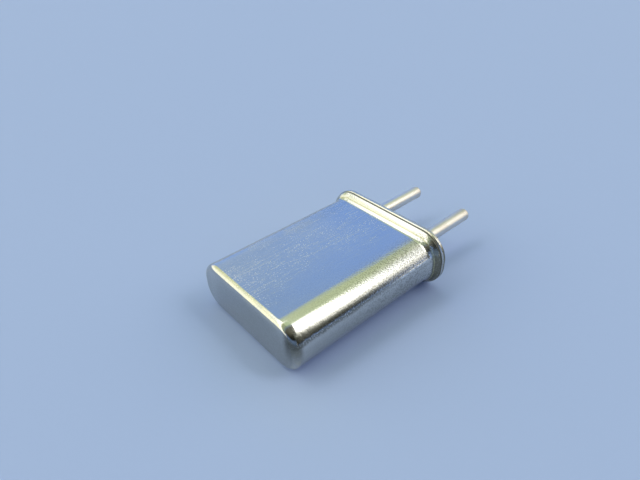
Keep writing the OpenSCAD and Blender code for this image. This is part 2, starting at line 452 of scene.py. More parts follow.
class NodeGraph:
    """A tree of shader nodes, put together a node at a time."""

    # the inner part of a line and of a speck that is at full strength
    LINE_CORE = 0.3
    SPECK_CORE = 0.4
    # the part of the chosen cells whose speck is at full strength
    FULL_SPECKS = 0.8

    def __init__(self, owner: bpy.types.Material | bpy.types.World) -> None:
        """Starts an empty tree.

        Args:
            owner: The material or the world that the tree belongs to.
        """
        owner.use_nodes = True
        self.tree = owner.node_tree
        self.tree.nodes.clear()
        self.coordinates = self.tree.nodes.new("ShaderNodeTexCoord").outputs

    def node(self, kind: str, inputs: dict, **settings: object) -> bpy.types.Node:
        """Adds a node.

        Args:
            kind: Blender's name of the node type.
            inputs: Values or sockets by input name or number.
            **settings: Properties of the node itself.

        Returns:
            The node.
        """
        made = self.tree.nodes.new(kind)
        for key, value in settings.items():
            setattr(made, key, value)
        for key, value in inputs.items():
            if isinstance(value, Socket):
                self.tree.links.new(value, made.inputs[key])
            else:
                made.inputs[key].default_value = value
        return made

    def parts(self, vector: Socket) -> tuple[Socket, ...]:
        """The x, y and z of a vector."""
        return tuple(self.node("ShaderNodeSeparateXYZ", {0: vector}).outputs)

    def stretched(self, space: Socket, per_metre: Colour, turn_deg: Colour = (0, 0, 0)) -> Socket:
        """Turns coordinates and then scales them.

        Args:
            space: Coordinates in metres.
            per_metre: Features per metre on each axis.
            turn_deg: Turn about each axis, in degrees.

        Returns:
            The new coordinates.
        """
        turned = self.node("ShaderNodeMapping", {
            "Vector": space, "Rotation": tuple(math.radians(a) for a in turn_deg)})
        scaled = self.node("ShaderNodeVectorMath", {0: turned.outputs[0], 1: per_metre},
                           operation="MULTIPLY")
        return scaled.outputs[0]

    def noise(self, vector: Socket, detail: float = 2.0, roughness: float = 0.5) -> Socket:
        """Smooth noise between 0 and 1, about 0.5."""
        return self.node("ShaderNodeTexNoise", {
            "Vector": vector, "Scale": 1.0, "Detail": detail, "Roughness": roughness,
        }).outputs[0]

    def fade(self, value: Socket, start: float, end: float, low: float = 0.0,
             high: float = 1.0) -> Socket:
        """A smooth step from low at start to high at end."""
        return self.node("ShaderNodeMapRange", {
            "Value": value, "From Min": start, "From Max": end, "To Min": low, "To Max": high,
        }, interpolation_type="SMOOTHSTEP").outputs["Result"]

    def sums(self, operation: str, a: Amount, b: Amount) -> Socket:
        """One step of arithmetic."""
        return self.node("ShaderNodeMath", {0: a, 1: b}, operation=operation).outputs[0]

    def less(self, value: Socket) -> Socket:
        """What is left of 1 once a value is taken off it."""
        return self.sums("SUBTRACT", 1.0, value)

    def times(self, *values: Amount) -> Socket:
        """The product of two or more values.

        Args:
            *values: Numbers and sockets.

        Returns:
            The product.
        """
        product = values[0]
        for value in values[1:]:
            product = self.sums("MULTIPLY", product, value)
        return product

    def plus(self, *values: Amount) -> Socket:
        """The sum of two or more values.

        Args:
            *values: Numbers and sockets.

        Returns:
            The sum.
        """
        total = values[0]
        for value in values[1:]:
            total = self.sums("ADD", total, value)
        return total

    def blend(self, share: Amount, first: Shade, second: Shade) -> Socket:
        """A colour between two colours."""
        mixed = self.node("ShaderNodeMix", {0: share, 6: opaque(first), 7: opaque(second)},
                          data_type="RGBA")
        return mixed.outputs[2]

    def layered(self, colour: Shade, layers: Sequence[Layer]) -> Socket:
        """Lays colours over a colour, one after the other.

        Args:
            colour: The lowest colour.
            layers: The share and the colour of each layer, from below.

        Returns:
            The colour that shows.
        """
        for share, over in layers:
            colour = self.blend(share, colour, over)
        return colour

    def aside(self, value: Socket, centre: float, *wander: Socket) -> Socket:
        """Distance of a place on an axis from a centre, which further values push about."""
        return self.sums("ABSOLUTE", self.plus(value, -centre, *wander), 0.0)

    def line(self, value: Socket, centre: float, half: float) -> Socket:
        """A thin line across an axis, strongest at its centre and gone at its half width."""
        return self.fade(self.aside(value, centre), half, half * self.LINE_CORE)

    def hairlines(self, space: Socket, per_metre: Colour, turn_deg: Colour,
                  width: float) -> Socket:
        """Long thin lines: where stretched noise passes through its middle value.

        Args:
            space: Coordinates in metres.
            per_metre: Features of the noise per metre on each axis.
            turn_deg: Turn about each axis, in degrees.
            width: Distance of the noise from its middle value at which a line ends.

        Returns:
            The lines' strength.
        """
        noise = self.noise(self.stretched(space, per_metre, turn_deg), detail=1.0)
        away = self.sums("ABSOLUTE", self.sums("SUBTRACT", noise, 0.5), 0.0)
        return self.fade(away, width, 0.0)

    def specks(self, space: Socket, per_metre: float, size: float, share: float) -> Socket:
        """Small round spots, one in some of the cells of a random pattern.

        Args:
            space: Coordinates in metres.
            per_metre: Cells per metre.
            size: Distance from a cell's centre at which its spot ends, in cells.
            share: Share of the cells that have a spot.

        Returns:
            The spots' strength.
        """
        cells = self.node("ShaderNodeTexVoronoi", {"Vector": space, "Scale": per_metre})
        chosen = self.node("ShaderNodeSeparateColor", {0: cells.outputs["Color"]}).outputs[0]
        return self.times(
            self.fade(cells.outputs["Distance"], size, size * self.SPECK_CORE),
            self.fade(chosen, 1 - share, 1 - share * self.FULL_SPECKS))


class Recipe(NodeGraph):
    """The node tree of one finish."""

    def __init__(self, name: str) -> None:
        """Starts a material with its shader.

        Args:
            name: Name of the material.
        """
        self.material = bpy.data.materials.new(name)
        super().__init__(self.material)
        self.object_space = self.coordinates["Object"]
        self.shader = self.node("ShaderNodeBsdfPrincipled", {})
        self.node("ShaderNodeOutputMaterial", {"Surface": self.shader.outputs["BSDF"]})

    def edge(self) -> Socket:
        """1 on tightly rounded outer edges, 0 on flat walls."""
        return self.node("ShaderNodeAttribute", {}, attribute_name="edge").outputs["Fac"]

    def relief(self, height: Socket, depth_mm: float, normal: Socket | None = None,
               share: Amount = 1.0) -> Socket:
        """Bumps a normal.

        Args:
            height: The relief, which at 1 stands depth_mm proud.
            depth_mm: Depth of the relief, in mm.
            normal: The normal that is bumped, if it isn't the surface's own.
            share: Where the relief acts, and how strongly.

        Returns:
            The bumped normal.
        """
        inputs = {"Height": height, "Distance": depth_mm * MM, "Strength": share}
        if normal is not None:
            inputs["Normal"] = normal
        return self.node("ShaderNodeBump", inputs).outputs["Normal"]

    def finish(self, **inputs: object) -> bpy.types.Material:
        """Sets the shader's inputs.

        Args:
            **inputs: Values or sockets by input name, with _ for a space.

        Returns:
            The finished material.
        """
        for key, value in inputs.items():
            socket = self.shader.inputs[key.replace("_", " ")]
            if isinstance(value, Socket):
                self.tree.links.new(value, socket)
            else:
                socket.default_value = value
        return self.material


def opaque(colour: object) -> object:
    """A colour with its fourth number; a socket is left as it is."""
    return (*colour, 1.0) if isinstance(colour, tuple) else colour


class PlateGraph(Recipe):
    """The node tree of a plated sheet, with places in mm and the patterns that its marks share."""

    def __init__(self, name: str) -> None:
        """Starts the material with its places, clouds and grains.

        Args:
            name: Name of the material.
        """
        super().__init__(name)
        space = self.object_space
        self.x, self.y, self.z = self.parts(self.stretched(space, (1 / MM,) * 3))
        self.across = self.sums("ABSOLUTE", self.x, 0.0)
        self.patches = self.noise(self.stretched(space, (260, 130, 260)), detail=3.0)
        self.clouds = self.noise(self.stretched(space, (900, 500, 900)), detail=4.0, roughness=0.6)
        self.drawn = self.noise(self.stretched(space, (16000, 260, 16000)))
        self.grain = self.noise(self.stretched(space, (9000, 12000, 9000)), roughness=0.6)
        self.pebbles = self.noise(self.stretched(space, (9500, 9500, 9500)), detail=0.0)
        self.fray = self.noise(self.stretched(space, (3600, 2600, 3600)))


@dataclass(frozen=True)
class PlateMarks:
    """How strongly each kind of mark shows on a plated sheet, from 0 to 1 at every place."""

    walls: Socket
    spots: Socket
    scratches: Socket
    peel: Socket
    # painted light, not marks on the metal: a reflection line on the left corner, a warm reflection
    # tone on the upper face, dark reflections low on the right corner and on its near end, painted
    # shade round the right end, and a highlight line
    left_edge_reflection: Socket
    tint: Socket
    darkening: Socket
    corner: Socket
    right_end_shade: Socket
    painted_glint: Socket
    crease: Socket
    seam: Socket


@dataclass(frozen=True)
class PlatedSheet:
    """Drawn sheet steel with a satin nickel plate: drawing lines, grain, flecks and scratches.

    Places are millimetres in the object's own frame. A span names the axis that it is measured
    on; "across" is the distance from the middle of the broad faces.
    """

    name: str
    plate: Colour
    tarnish: Colour
    crease_y: float
    seam_y: float
    shine: float = 0.10
    scuffed: float = 1.0
    # the colour of flecks and scratches, and of the painted highlight line
    fleck_and_glint: Colour = (0.93, 0.90, 0.82)
    # the tan of worn edges, and of the painted reflection along the left corner
    wear_and_reflection_tan: Colour = (0.82, 0.73, 0.52)
    # the colour of the painted warm reflection tone on the upper broad face
    reflection_tint: Colour = (0.98, 0.78, 0.52)
    # the dark of the seam and the pits, and the colour of the painted dark reflections
    soot_and_dark_reflection: Colour = (0.13, 0.125, 0.10)
    # the colour of the painted shade round the right end
    right_end_shade_colour: Colour = (0.16, 0.140, 0.075)
    crease_line_colour: Colour = (0.44, 0.42, 0.27)
    # the walls begin past the round of the closed end
    walls_y: Span = (-9.95, -9.50)
    # handling marks gather in a belt along the broad faces, more of them towards the flange
    belt_x: float = -1.2
    belt_wander: float = -5.0
    belt_widening: float = -0.10
    belt_reach: Span = (1.6, -1.4)
    # the drawn corners are coarse, like orange peel, and more so towards the flange
    peel_across: Span = (2.3, 4.0)
    peel_y: Span = (-9.0, 1.0)
    peel_x: Span = (-1.0, 1.0)
    # a painted reflection, a tan line, lies where the left corner begins
    left_edge_reflection_x: float = -3.88
    left_edge_reflection_wander: float = -0.4
    left_edge_reflection_reach: Span = (0.20, 0.02)
    left_edge_reflection_y: Span = (-9.8, -9.3)
    # a painted warm reflection tone lies on the upper broad face, towards its left side and the
    # closed end
    tint_x: Span = (2.8, -2.4)
    tint_edge_x: Span = (-2.9, -3.5)
    tint_z: Span = (3.80, 4.00)
    tint_y: Span = (1.4, -2.5)
    # a painted dark reflection lies low on the right corner
    dark_band_z: float = 3.25
    dark_band_wander: float = 0.30
    dark_band_reach: Span = (0.30, 0.10)
    dark_band_x: Span = (4.0, 4.4)
    dark_band_y: Span = (1.0, -5.0)
    # a painted dark reflection darkens the near right corner below its round
    corner_fall: float = 0.55
    corner_middle_x: float = 4.0
    corner_top_z: Span = (3.97, 3.82)
    corner_z: Span = (1.2, 3.1)
    corner_x: Span = (3.75, 4.35)
    corner_y: Span = (-9.2, -9.6)
    # painted shade lies round the right end, in the flange's hollow and on the base's rim
    hollow_start_y: Span = (2.30, 2.47)
    hollow_end_y: Span = (3.00, 2.90)
    rim_start_y: Span = (3.14, 3.22)
    rim_end_y: Span = (3.50, 3.42)
    right_end_shade_x: Span = (4.55, 4.90)
    right_end_shade_z: Span = (3.86, 3.56)
    # a painted highlight line, on a small ridge, runs low along the right corner, up to the flange
    painted_glint_z: float = 3.14
    painted_glint_half: float = 0.11
    painted_glint_wander: float = 0.15
    painted_glint_x: Span = (4.5, 4.8)
    painted_glint_start_y: Span = (-2.4, -0.4)
    painted_glint_end_y: Span = (2.3, 2.0)
    # a darker olive line lies just before the flange's crease, and a stained line just before its
    # weld seam
    crease_back: float = 0.05
    crease_half: float = 0.05
    seam_back: float = 0.065
    seam_half: float = 0.13
    # the sheet's bends begin softly: the long corners, the closed end and the flange
    body_y: Span = (2.30, 2.10)
    corner_bend_across: Span = (4.3, 3.1)
    end_bend_y: Span = (-9.9, -9.25)
    end_bend_across: Span = (3.3, 4.0)
    flare_bend_y: Span = (2.0, 2.45)
    flare_before_y: Span = (2.45, 2.30)
    flange_bend_across: Span = (3.5, 4.6)
    fray_across: Span = (4.1, 4.5)
    # how deep each relief is
    skin_mm: float = 0.0016
    cloud_mm: float = 0.003
    corner_bend_mm: float = 0.06
    end_bend_mm: float = 0.04
    flare_bend_mm: float = 0.05
    flange_bend_mm: float = 0.17
    painted_glint_mm: float = 0.012
    fray_mm: float = 0.007

    def material(self) -> bpy.types.Material:
        """Makes the finish.

        Returns:
            A material in Object coordinates, with wear on the "edge" attribute.
        """
        r = PlateGraph(self.name)
        marks = self.marks(r)
        roughness = r.plus(self.shine, r.times(r.clouds, 0.05), r.times(marks.spots, 0.25),
                           r.times(marks.scratches, 0.20), r.times(marks.peel, 0.08),
                           r.times(marks.crease, 0.1), r.times(marks.seam, 0.3),
                           r.times(marks.tint, 0.10), r.times(marks.left_edge_reflection, 0.18))
        return r.finish(Base_Color=self.colour(r, marks), Metallic=1.0, Roughness=roughness,
                        Normal=self.normal(r, marks))

    def marks(self, r: PlateGraph) -> PlateMarks:
        """Works out where each kind of mark lies.

        Args:
            r: The material's node tree.

        Returns:
            The strength of every mark.
        """
        walls = r.fade(r.y, *self.walls_y)
        spots, scratches = self.handling(r, walls)
        return PlateMarks(
            walls=walls,
            spots=spots,
            scratches=scratches,
            peel=self.peel(r, walls),
            left_edge_reflection=self.left_edge_reflection(r),
            tint=self.tint(r, walls),
            darkening=self.darkening(r),
            corner=self.corner(r),
            right_end_shade=self.right_end_shade(r),
            painted_glint=self.painted_glint(r),
            crease=r.line(r.y, self.crease_y - self.crease_back, self.crease_half),
            seam=r.line(r.y, self.seam_y - self.seam_back, self.seam_half),
        )

    def handling(self, r: PlateGraph, walls: Socket) -> tuple[Socket, Socket]:
        """Flecks and scratches, which gather in a belt whose border wanders with the patches.

        Args:
            r: The material's node tree.
            walls: 1 on the walls, 0 on the closed end.

        Returns:
            The strengths of the flecks and of the scratches.
        """
        space = r.object_space
        belt = r.fade(r.plus(r.aside(r.x, self.belt_x), r.times(r.patches, self.belt_wander),
                             r.times(r.y, self.belt_widening)), *self.belt_reach)
        share = r.times(r.plus(0.10, r.times(belt, 0.90)), self.scuffed,
                        r.plus(0.35, r.times(walls, 0.65)))
        flecks = r.plus(r.specks(space, 9000.0, 0.36, 0.48), r.specks(space, 5200.0, 0.26, 0.22))
        long_lines = r.hairlines(space, (2600, 170, 2600), (0, 0, 3), 0.008)
        fine_lines = r.hairlines(space, (5200, 260, 5200), (0, 0, -2), 0.008)
        cross_lines = r.hairlines(space, (900, 300, 900), (0, 0, 34), 0.004)
        lines = r.plus(long_lines, r.times(fine_lines, 0.6), r.times(cross_lines, 0.5))
        clusters = r.fade(r.clouds, 0.40, 0.58, 0.35, 1.0)
        return r.times(flecks, share, clusters), r.times(lines, share)

    def peel(self, r: PlateGraph, walls: Socket) -> Socket:
        """Orange peel on the drawn corners, more of it towards the flange and on the right."""
        return r.times(r.fade(r.across, *self.peel_across), r.fade(r.y, *self.peel_y, 0.12, 1.0),
                       r.fade(r.x, *self.peel_x, 0.6, 1.0), walls, self.scuffed)

    def left_edge_reflection(self, r: PlateGraph) -> Socket:
        """A broken painted reflection line, which wanders with the patches and breaks up with the
        clouds.
        """
        aside = r.aside(r.x, self.left_edge_reflection_x, r.times(r.patches, self.left_edge_reflection_wander))
        return r.times(r.fade(aside, *self.left_edge_reflection_reach), r.fade(r.clouds, 0.36, 0.62),
                       r.fade(r.grain, 0.36, 0.60, 0.15, 1.0), r.fade(r.y, *self.left_edge_reflection_y),
                       self.scuffed)

    def tint(self, r: PlateGraph, walls: Socket) -> Socket:
        """A painted warm reflection tone in patches over the upper broad face, and in clouds along
        its left edge.

        Args:
            r: The material's node tree.
            walls: 1 on the walls, 0 on the closed end.

        Returns:
            The painted tone's strength.
        """
        broad = r.times(r.fade(r.x, *self.tint_x), r.fade(r.patches, 0.25, 0.60, 0.24, 0.40))
        edge = r.times(r.fade(r.x, *self.tint_edge_x), r.fade(r.clouds, 0.30, 0.60, 0.05, 0.38))
        return r.times(r.plus(broad, edge), r.fade(r.z, *self.tint_z), r.fade(r.y, *self.tint_y),
                       walls, self.scuffed)

    def darkening(self, r: PlateGraph) -> Socket:
        """A grainy painted dark reflection, which wanders with the clouds and fades towards the
        flange.
        """
        aside = r.aside(r.z, self.dark_band_z, r.times(r.clouds, self.dark_band_wander))
        return r.times(r.fade(aside, *self.dark_band_reach), r.fade(r.x, *self.dark_band_x),
                       r.fade(r.y, *self.dark_band_y), r.fade(r.grain, 0.30, 0.52), self.scuffed)

    def corner(self, r: PlateGraph) -> Socket:
        """The painted dark reflection on the corner, whose upper border z + fall * (x - middle)
        sinks to the right.
        """
        top = r.plus(r.z, r.times(r.x, self.corner_fall), -self.corner_fall * self.corner_middle_x)
        return r.times(r.fade(top, *self.corner_top_z), r.fade(r.z, *self.corner_z),
                       r.fade(r.x, *self.corner_x), r.fade(r.y, *self.corner_y),
                       r.fade(r.grain, 0.20, 0.50, 0.75, 1.0), self.scuffed)

    def right_end_shade(self, r: PlateGraph) -> Socket:
        """Painted shade: two bands along Y, where they go round the right end.

        Args:
            r: The material's node tree.

        Returns:
            The painted shade's strength.
        """
        hollow = r.times(r.fade(r.y, *self.hollow_start_y), r.fade(r.y, *self.hollow_end_y))
        rim = r.times(r.fade(r.y, *self.rim_start_y), r.fade(r.y, *self.rim_end_y))
        return r.times(r.plus(hollow, rim), r.fade(r.x, *self.right_end_shade_x),
                       r.fade(r.z, *self.right_end_shade_z), r.fade(r.grain, 0.25, 0.50, 0.65, 1.0))

    def painted_glint(self, r: PlateGraph) -> Socket:
        """A painted highlight line along the right corner, which wanders with the patches."""
        wandering = r.plus(r.z, r.times(r.patches, self.painted_glint_wander))
        return r.times(r.line(wandering, self.painted_glint_z, self.painted_glint_half),
                       r.fade(r.x, *self.painted_glint_x), r.fade(r.y, *self.painted_glint_start_y),
                       r.fade(r.y, *self.painted_glint_end_y), r.fade(r.clouds, 0.25, 0.5, 0.4, 1.0),
                       self.scuffed)

    def colour(self, r: PlateGraph, marks: PlateMarks) -> Socket:
        """Lays the marks, painted reflections and painted shade over the plate, from the tarnish up
        to the pits of the orange peel.

        Args:
            r: The material's node tree.
            marks: The strength of every mark.

        Returns:
            The metal's colour.
        """
        tarnished = r.times(r.fade(r.patches, 0.42, 0.72), 0.3)
        grained = r.times(r.fade(r.grain, 0.35, 0.65), r.plus(0.62, r.times(marks.walls, -0.32)))
        worn = r.times(r.edge(), r.fade(r.clouds, 0.45, 0.62), 0.35)
        pitted = r.times(marks.peel, r.fade(r.pebbles, 0.55, 0.36), 0.45)
        return r.layered(self.plate, (
            (tarnished, self.tarnish),
            # painted reflection: a warm, greyer tone on the upper broad face
            (marks.tint, self.reflection_tint),
            (grained, self.tarnish),
            (r.times(marks.spots, 0.70), self.fleck_and_glint),
            (r.times(marks.scratches, 0.30), self.fleck_and_glint),
            # painted reflection: a tan line along the left corner
            (r.times(marks.left_edge_reflection, 0.6), self.wear_and_reflection_tan),
            (worn, self.wear_and_reflection_tan),
            # painted dark reflection low on the right corner
            (r.times(marks.darkening, 0.75), self.soot_and_dark_reflection),
            # painted dark reflection on the near right corner
            (r.times(marks.corner, 0.85), self.soot_and_dark_reflection),
            # painted shade round the right end of the flange and the rim
            (r.times(marks.right_end_shade, 0.86), self.right_end_shade_colour),
            # painted highlight line low on the right corner
            (r.times(marks.painted_glint, 0.85), self.fleck_and_glint),
            (r.times(marks.crease, 0.85), self.crease_line_colour),
            (marks.seam, self.soot_and_dark_reflection),
            (pitted, self.soot_and_dark_reflection),
        ))

    def normal(self, r: PlateGraph, marks: PlateMarks) -> Socket:
        """Lays the reliefs over each other: skin, clouds, the sheet's bends, the highlight line's
        ridge and fray.

        Args:
            r: The material's node tree.
            marks: The strength of every mark.

        Returns:
            The bumped normal.
        """
        skin = r.plus(r.times(r.drawn, 0.25),
                      r.times(r.grain, r.plus(0.45, r.times(marks.peel, 1.5))),
                      r.times(r.pebbles, marks.peel, 4.5), r.times(marks.spots, 1.2),
                      r.times(marks.scratches, -0.8))
        body = r.fade(r.y, *self.body_y)
        frayed = r.times(r.fade(r.across, *self.fray_across), marks.walls, self.scuffed)
        end_corners = r.fade(r.across, *self.end_bend_across)
        before_flare = r.fade(r.y, *self.flare_before_y)
        # each relief's height, its depth in mm and where it acts
        reliefs = (
            (skin, self.skin_mm, 1.0),
            (r.clouds, self.cloud_mm, 1.0),
            (r.fade(r.across, *self.corner_bend_across), self.corner_bend_mm, body),
            (r.fade(r.y, *self.end_bend_y), self.end_bend_mm, end_corners),
            (r.fade(r.y, *self.flare_bend_y), self.flare_bend_mm, before_flare),
            (r.fade(r.across, *self.flange_bend_across), self.flange_bend_mm, r.less(body)),
            (marks.painted_glint, self.painted_glint_mm, 1.0),
            (r.fray, self.fray_mm, frayed),
        )
        normal = None
        for height, depth_mm, share in reliefs:
            normal = r.relief(height, depth_mm, normal, share)
        return normal


@dataclass(frozen=True)
class PinWire:
    """Plated wire with faint lines along its length and a duller tip."""

    name: str = "pin_metal"
    plate: Colour = (0.72, 0.685, 0.62)
    dull: Colour = (0.60, 0.53, 0.44)
    # the plate is duller towards the tip and under the base, by places along Y in mm
    tip_y: Span = (8.8, 9.9)
    neck_y: Span = (3.5, 3.2)
    relief_mm: float = 0.0012

    def material(self) -> bpy.types.Material:
        """Makes the finish.

        Returns:
            A material in Object coordinates.
        """
        r = Recipe(self.name)
        space = r.object_space
        _, y, _ = r.parts(space)
        lines = r.noise(r.stretched(space, (14000, 220, 14000)), detail=3.0)
        clouds = r.noise(r.stretched(space, (1500, 700, 1500)), detail=4.0, roughness=0.6)
        pits = r.specks(space, 5200.0, 0.30, 0.25)
        tip = r.fade(y, *metres(self.tip_y))
        neck = r.fade(y, *metres(self.neck_y))
        worn = r.plus(r.times(r.fade(clouds, 0.42, 0.7), 0.45), r.times(tip, 0.4),
                      r.times(neck, 0.5))
        colour = r.blend(worn, self.plate, self.dull)
        roughness = r.plus(0.25, r.times(clouds, 0.10), r.times(pits, 0.15), r.times(tip, 0.1))
        height = r.plus(r.times(lines, 0.5), r.times(pits, -1.0), r.times(clouds, 0.8))
        return r.finish(Base_Color=colour, Metallic=1.0, Roughness=roughness,
                        Normal=r.relief(height, self.relief_mm))


@dataclass(frozen=True)
class SealGlass:
    """Dark fused glass with a few bubbles and a faint haze where it wets the metal."""

    name: str = "seal_glass"
    body: Colour = (0.030, 0.052, 0.046)
    tint: Colour = (0.16, 0.20, 0.18)
    refraction: float = 1.52
    coat: float = 0.4
    coat_roughness: float = 0.04
    relief_mm: float = 0.003

    def material(self) -> bpy.types.Material:
        """Makes the finish.

        Returns:
            A material in Object coordinates.
        """
        r = Recipe(self.name)
        space = r.object_space
        swirl = r.noise(r.stretched(space, (3200, 3200, 3200)), detail=4.0, roughness=0.6)
        bubbles = r.specks(space, 6500.0, 0.30, 0.35)
        colour = r.blend(r.plus(r.times(r.fade(swirl, 0.48, 0.75), 0.6), r.times(bubbles, 0.5)),
                         self.body, self.tint)
        roughness = r.plus(0.05, r.times(swirl, 0.10), r.times(bubbles, 0.2))
        height = r.plus(r.times(swirl, 1.0), r.times(bubbles, 1.4))
        return r.finish(Base_Color=colour, Roughness=roughness, IOR=self.refraction,
                        Coat_Weight=self.coat, Coat_Roughness=self.coat_roughness,
                        Normal=r.relief(height, self.relief_mm))


@dataclass(frozen=True)
class SpringStrip:
    """Bright rolled strip with fine rolling lines and a blued, worn surface."""

    name: str = "spring_metal"
    bright: Colour = (0.68, 0.65, 0.58)
    stained: Colour = (0.50, 0.46, 0.38)
    relief_mm: float = 0.0015

    def material(self) -> bpy.types.Material:
        """Makes the finish.

        Returns:
            A material in Object coordinates.
        """
        r = Recipe(self.name)
        space = r.object_space
        rolled = r.noise(r.stretched(space, (300, 300, 15000)), detail=3.0)
        darkening = r.noise(r.stretched(space, (1200, 1200, 1200)), detail=4.0)
        scratch = r.hairlines(space, (400, 400, 4200), (0, 12, 0), 0.01)
        colour = r.blend(r.fade(darkening, 0.45, 0.75), self.bright, self.stained)
        roughness = r.plus(0.24, r.times(rolled, 0.12), r.times(scratch, 0.12))
        height = r.plus(r.times(rolled, 0.6), r.times(scratch, -0.8))
        return r.finish(Base_Color=colour, Metallic=1.0, Roughness=roughness,
                        Normal=r.relief(height, self.relief_mm))


@dataclass(frozen=True)
class GroundQuartz:
    """Clear crystal, finely ground on its faces and a little frosted at the rim."""

    name: str = "quartz"
    clear: Colour = (0.93, 0.96, 0.97)
    frost: Colour = (0.84, 0.88, 0.90)
    refraction: float = 1.544
    clearness: float = 0.8
    relief_mm: float = 0.0012

    def material(self) -> bpy.types.Material:
        """Makes the finish.

        Returns:
            A material in Object coordinates.
        """
        r = Recipe(self.name)
        space = r.object_space
        lapped = r.noise(r.stretched(space, (12000, 12000, 12000)), detail=3.0)
        clouds = r.noise(r.stretched(space, (700, 700, 700)), detail=3.0)
        colour = r.blend(r.fade(clouds, 0.4, 0.7), self.clear, self.frost)
        roughness = r.plus(0.16, r.times(clouds, 0.16))
        return r.finish(Base_Color=colour, Roughness=roughness, IOR=self.refraction,
                        Transmission_Weight=self.clearness,
                        Normal=r.relief(lapped, self.relief_mm))


@dataclass(frozen=True)
class SilverFilm:
    """Evaporated silver: bright, with a faint orange-peel and a yellowed bloom."""

    name: str = "silver_film"
    bright: Colour = (0.91, 0.90, 0.87)
    bloom: Colour = (0.80, 0.76, 0.66)
    relief_mm: float = 0.001

    def material(self) -> bpy.types.Material:
        """Makes the finish.

        Returns:
            A material in Object coordinates.
        """
        r = Recipe(self.name)
        space = r.object_space
        peel = r.noise(r.stretched(space, (8000, 8000, 8000)), detail=2.0)
        clouds = r.noise(r.stretched(space, (600, 600, 600)), detail=4.0)
        colour = r.blend(r.times(r.fade(clouds, 0.45, 0.75), 0.6), self.bright, self.bloom)
        roughness = r.plus(0.14, r.times(peel, 0.1), r.times(clouds, 0.08))
        return r.finish(Base_Color=colour, Metallic=1.0, Roughness=roughness,
                        Normal=r.relief(peel, self.relief_mm))


@dataclass(frozen=True)
class SilverCement:
    """Set conductive cement: matt and grey, with bright flakes."""

    name: str = "silver_cement"
    paste: Colour = (0.46, 0.46, 0.45)
    flake: Colour = (0.78, 0.78, 0.76)
    metal_share: float = 0.55
    relief_mm: float = 0.012

    def material(self) -> bpy.types.Material:
        """Makes the finish.

        Returns:
            A material in Object coordinates.
        """
        r = Recipe(self.name)
        space = r.object_space
        lumps = r.noise(r.stretched(space, (3500, 3500, 3500)), detail=5.0, roughness=0.65)
        flakes = r.specks(space, 16000.0, 0.4, 0.4)
        colour = r.blend(r.times(flakes, 0.9), self.paste, self.flake)
        roughness = r.plus(0.5, r.times(lumps, 0.2), r.times(flakes, -0.25))
        height = r.plus(lumps, r.times(flakes, 0.3))
        return r.finish(Base_Color=colour, Metallic=self.metal_share, Roughness=roughness,
                        Normal=r.relief(height, self.relief_mm))


# ---------------------------------------------------------------------------------------------
# The pieces
# ---------------------------------------------------------------------------------------------


@dataclass(frozen=True)
class CaseOutline:
    """The can's outline across the pins: a rectangle with round corners."""

    width: float = 10.0
    thickness: float = 3.6
    corner_r: float = 1.55
    corner_steps: int = 40
    broad_steps: int = 20
    side_steps: int = 4

    def spokes(self) -> Spokes:
        """Spokes round the outline, from the middle of the lower broad wall anticlockwise.

        A corner's spokes fan out from the corner's axis, and a straight wall's spokes stand side
        by side on the line between two axes.

        Returns:
            The closed path, with a spoke at x = 0 on both broad walls.
        """
        half_x = self.width / 2 - self.corner_r
        half_z = self.thickness / 2 - self.corner_r
        fan = np.linspace(0.0, math.pi / 2, self.corner_steps + 1)
        flat = np.linspace(0.0, 1.0, self.broad_steps + 1)[:-1]
        short = np.linspace(0.0, 1.0, self.side_steps + 1)[1:-1]
        feet, angles = [], []

        def straight(x: np.ndarray, z: np.ndarray, angle: float) -> None:
            """Adds spokes side by side."""
            feet.append(np.stack(np.broadcast_arrays(x, z), axis=-1).astype(float))
            angles.append(np.full(len(feet[-1]), angle))

        def corner(x: float, z: float, start: float) -> None:
            """Adds a fan of spokes."""
            feet.append(np.tile([x, z], (len(fan), 1)))
            angles.append(start + fan)

        straight(half_x * flat, -half_z, -math.pi / 2)
        corner(half_x, -half_z, -math.pi / 2)
        straight(half_x, half_z * (2 * short - 1), 0.0)
        corner(half_x, half_z, 0.0)
        straight(half_x * (1 - flat)[1:], half_z, math.pi / 2)
        straight(-half_x * flat, half_z, math.pi / 2)
        corner(-half_x, half_z, math.pi / 2)
        straight(-half_x, half_z * (1 - 2 * short), math.pi)
        corner(-half_x, -half_z, math.pi)
        straight(-half_x * (1 - flat)[1:], -half_z, -math.pi / 2)
        turned = np.concatenate(angles)
        directions = np.stack([np.cos(turned), np.sin(turned)], axis=-1)
        return Spokes(np.concatenate(feet), directions, self.corner_r)


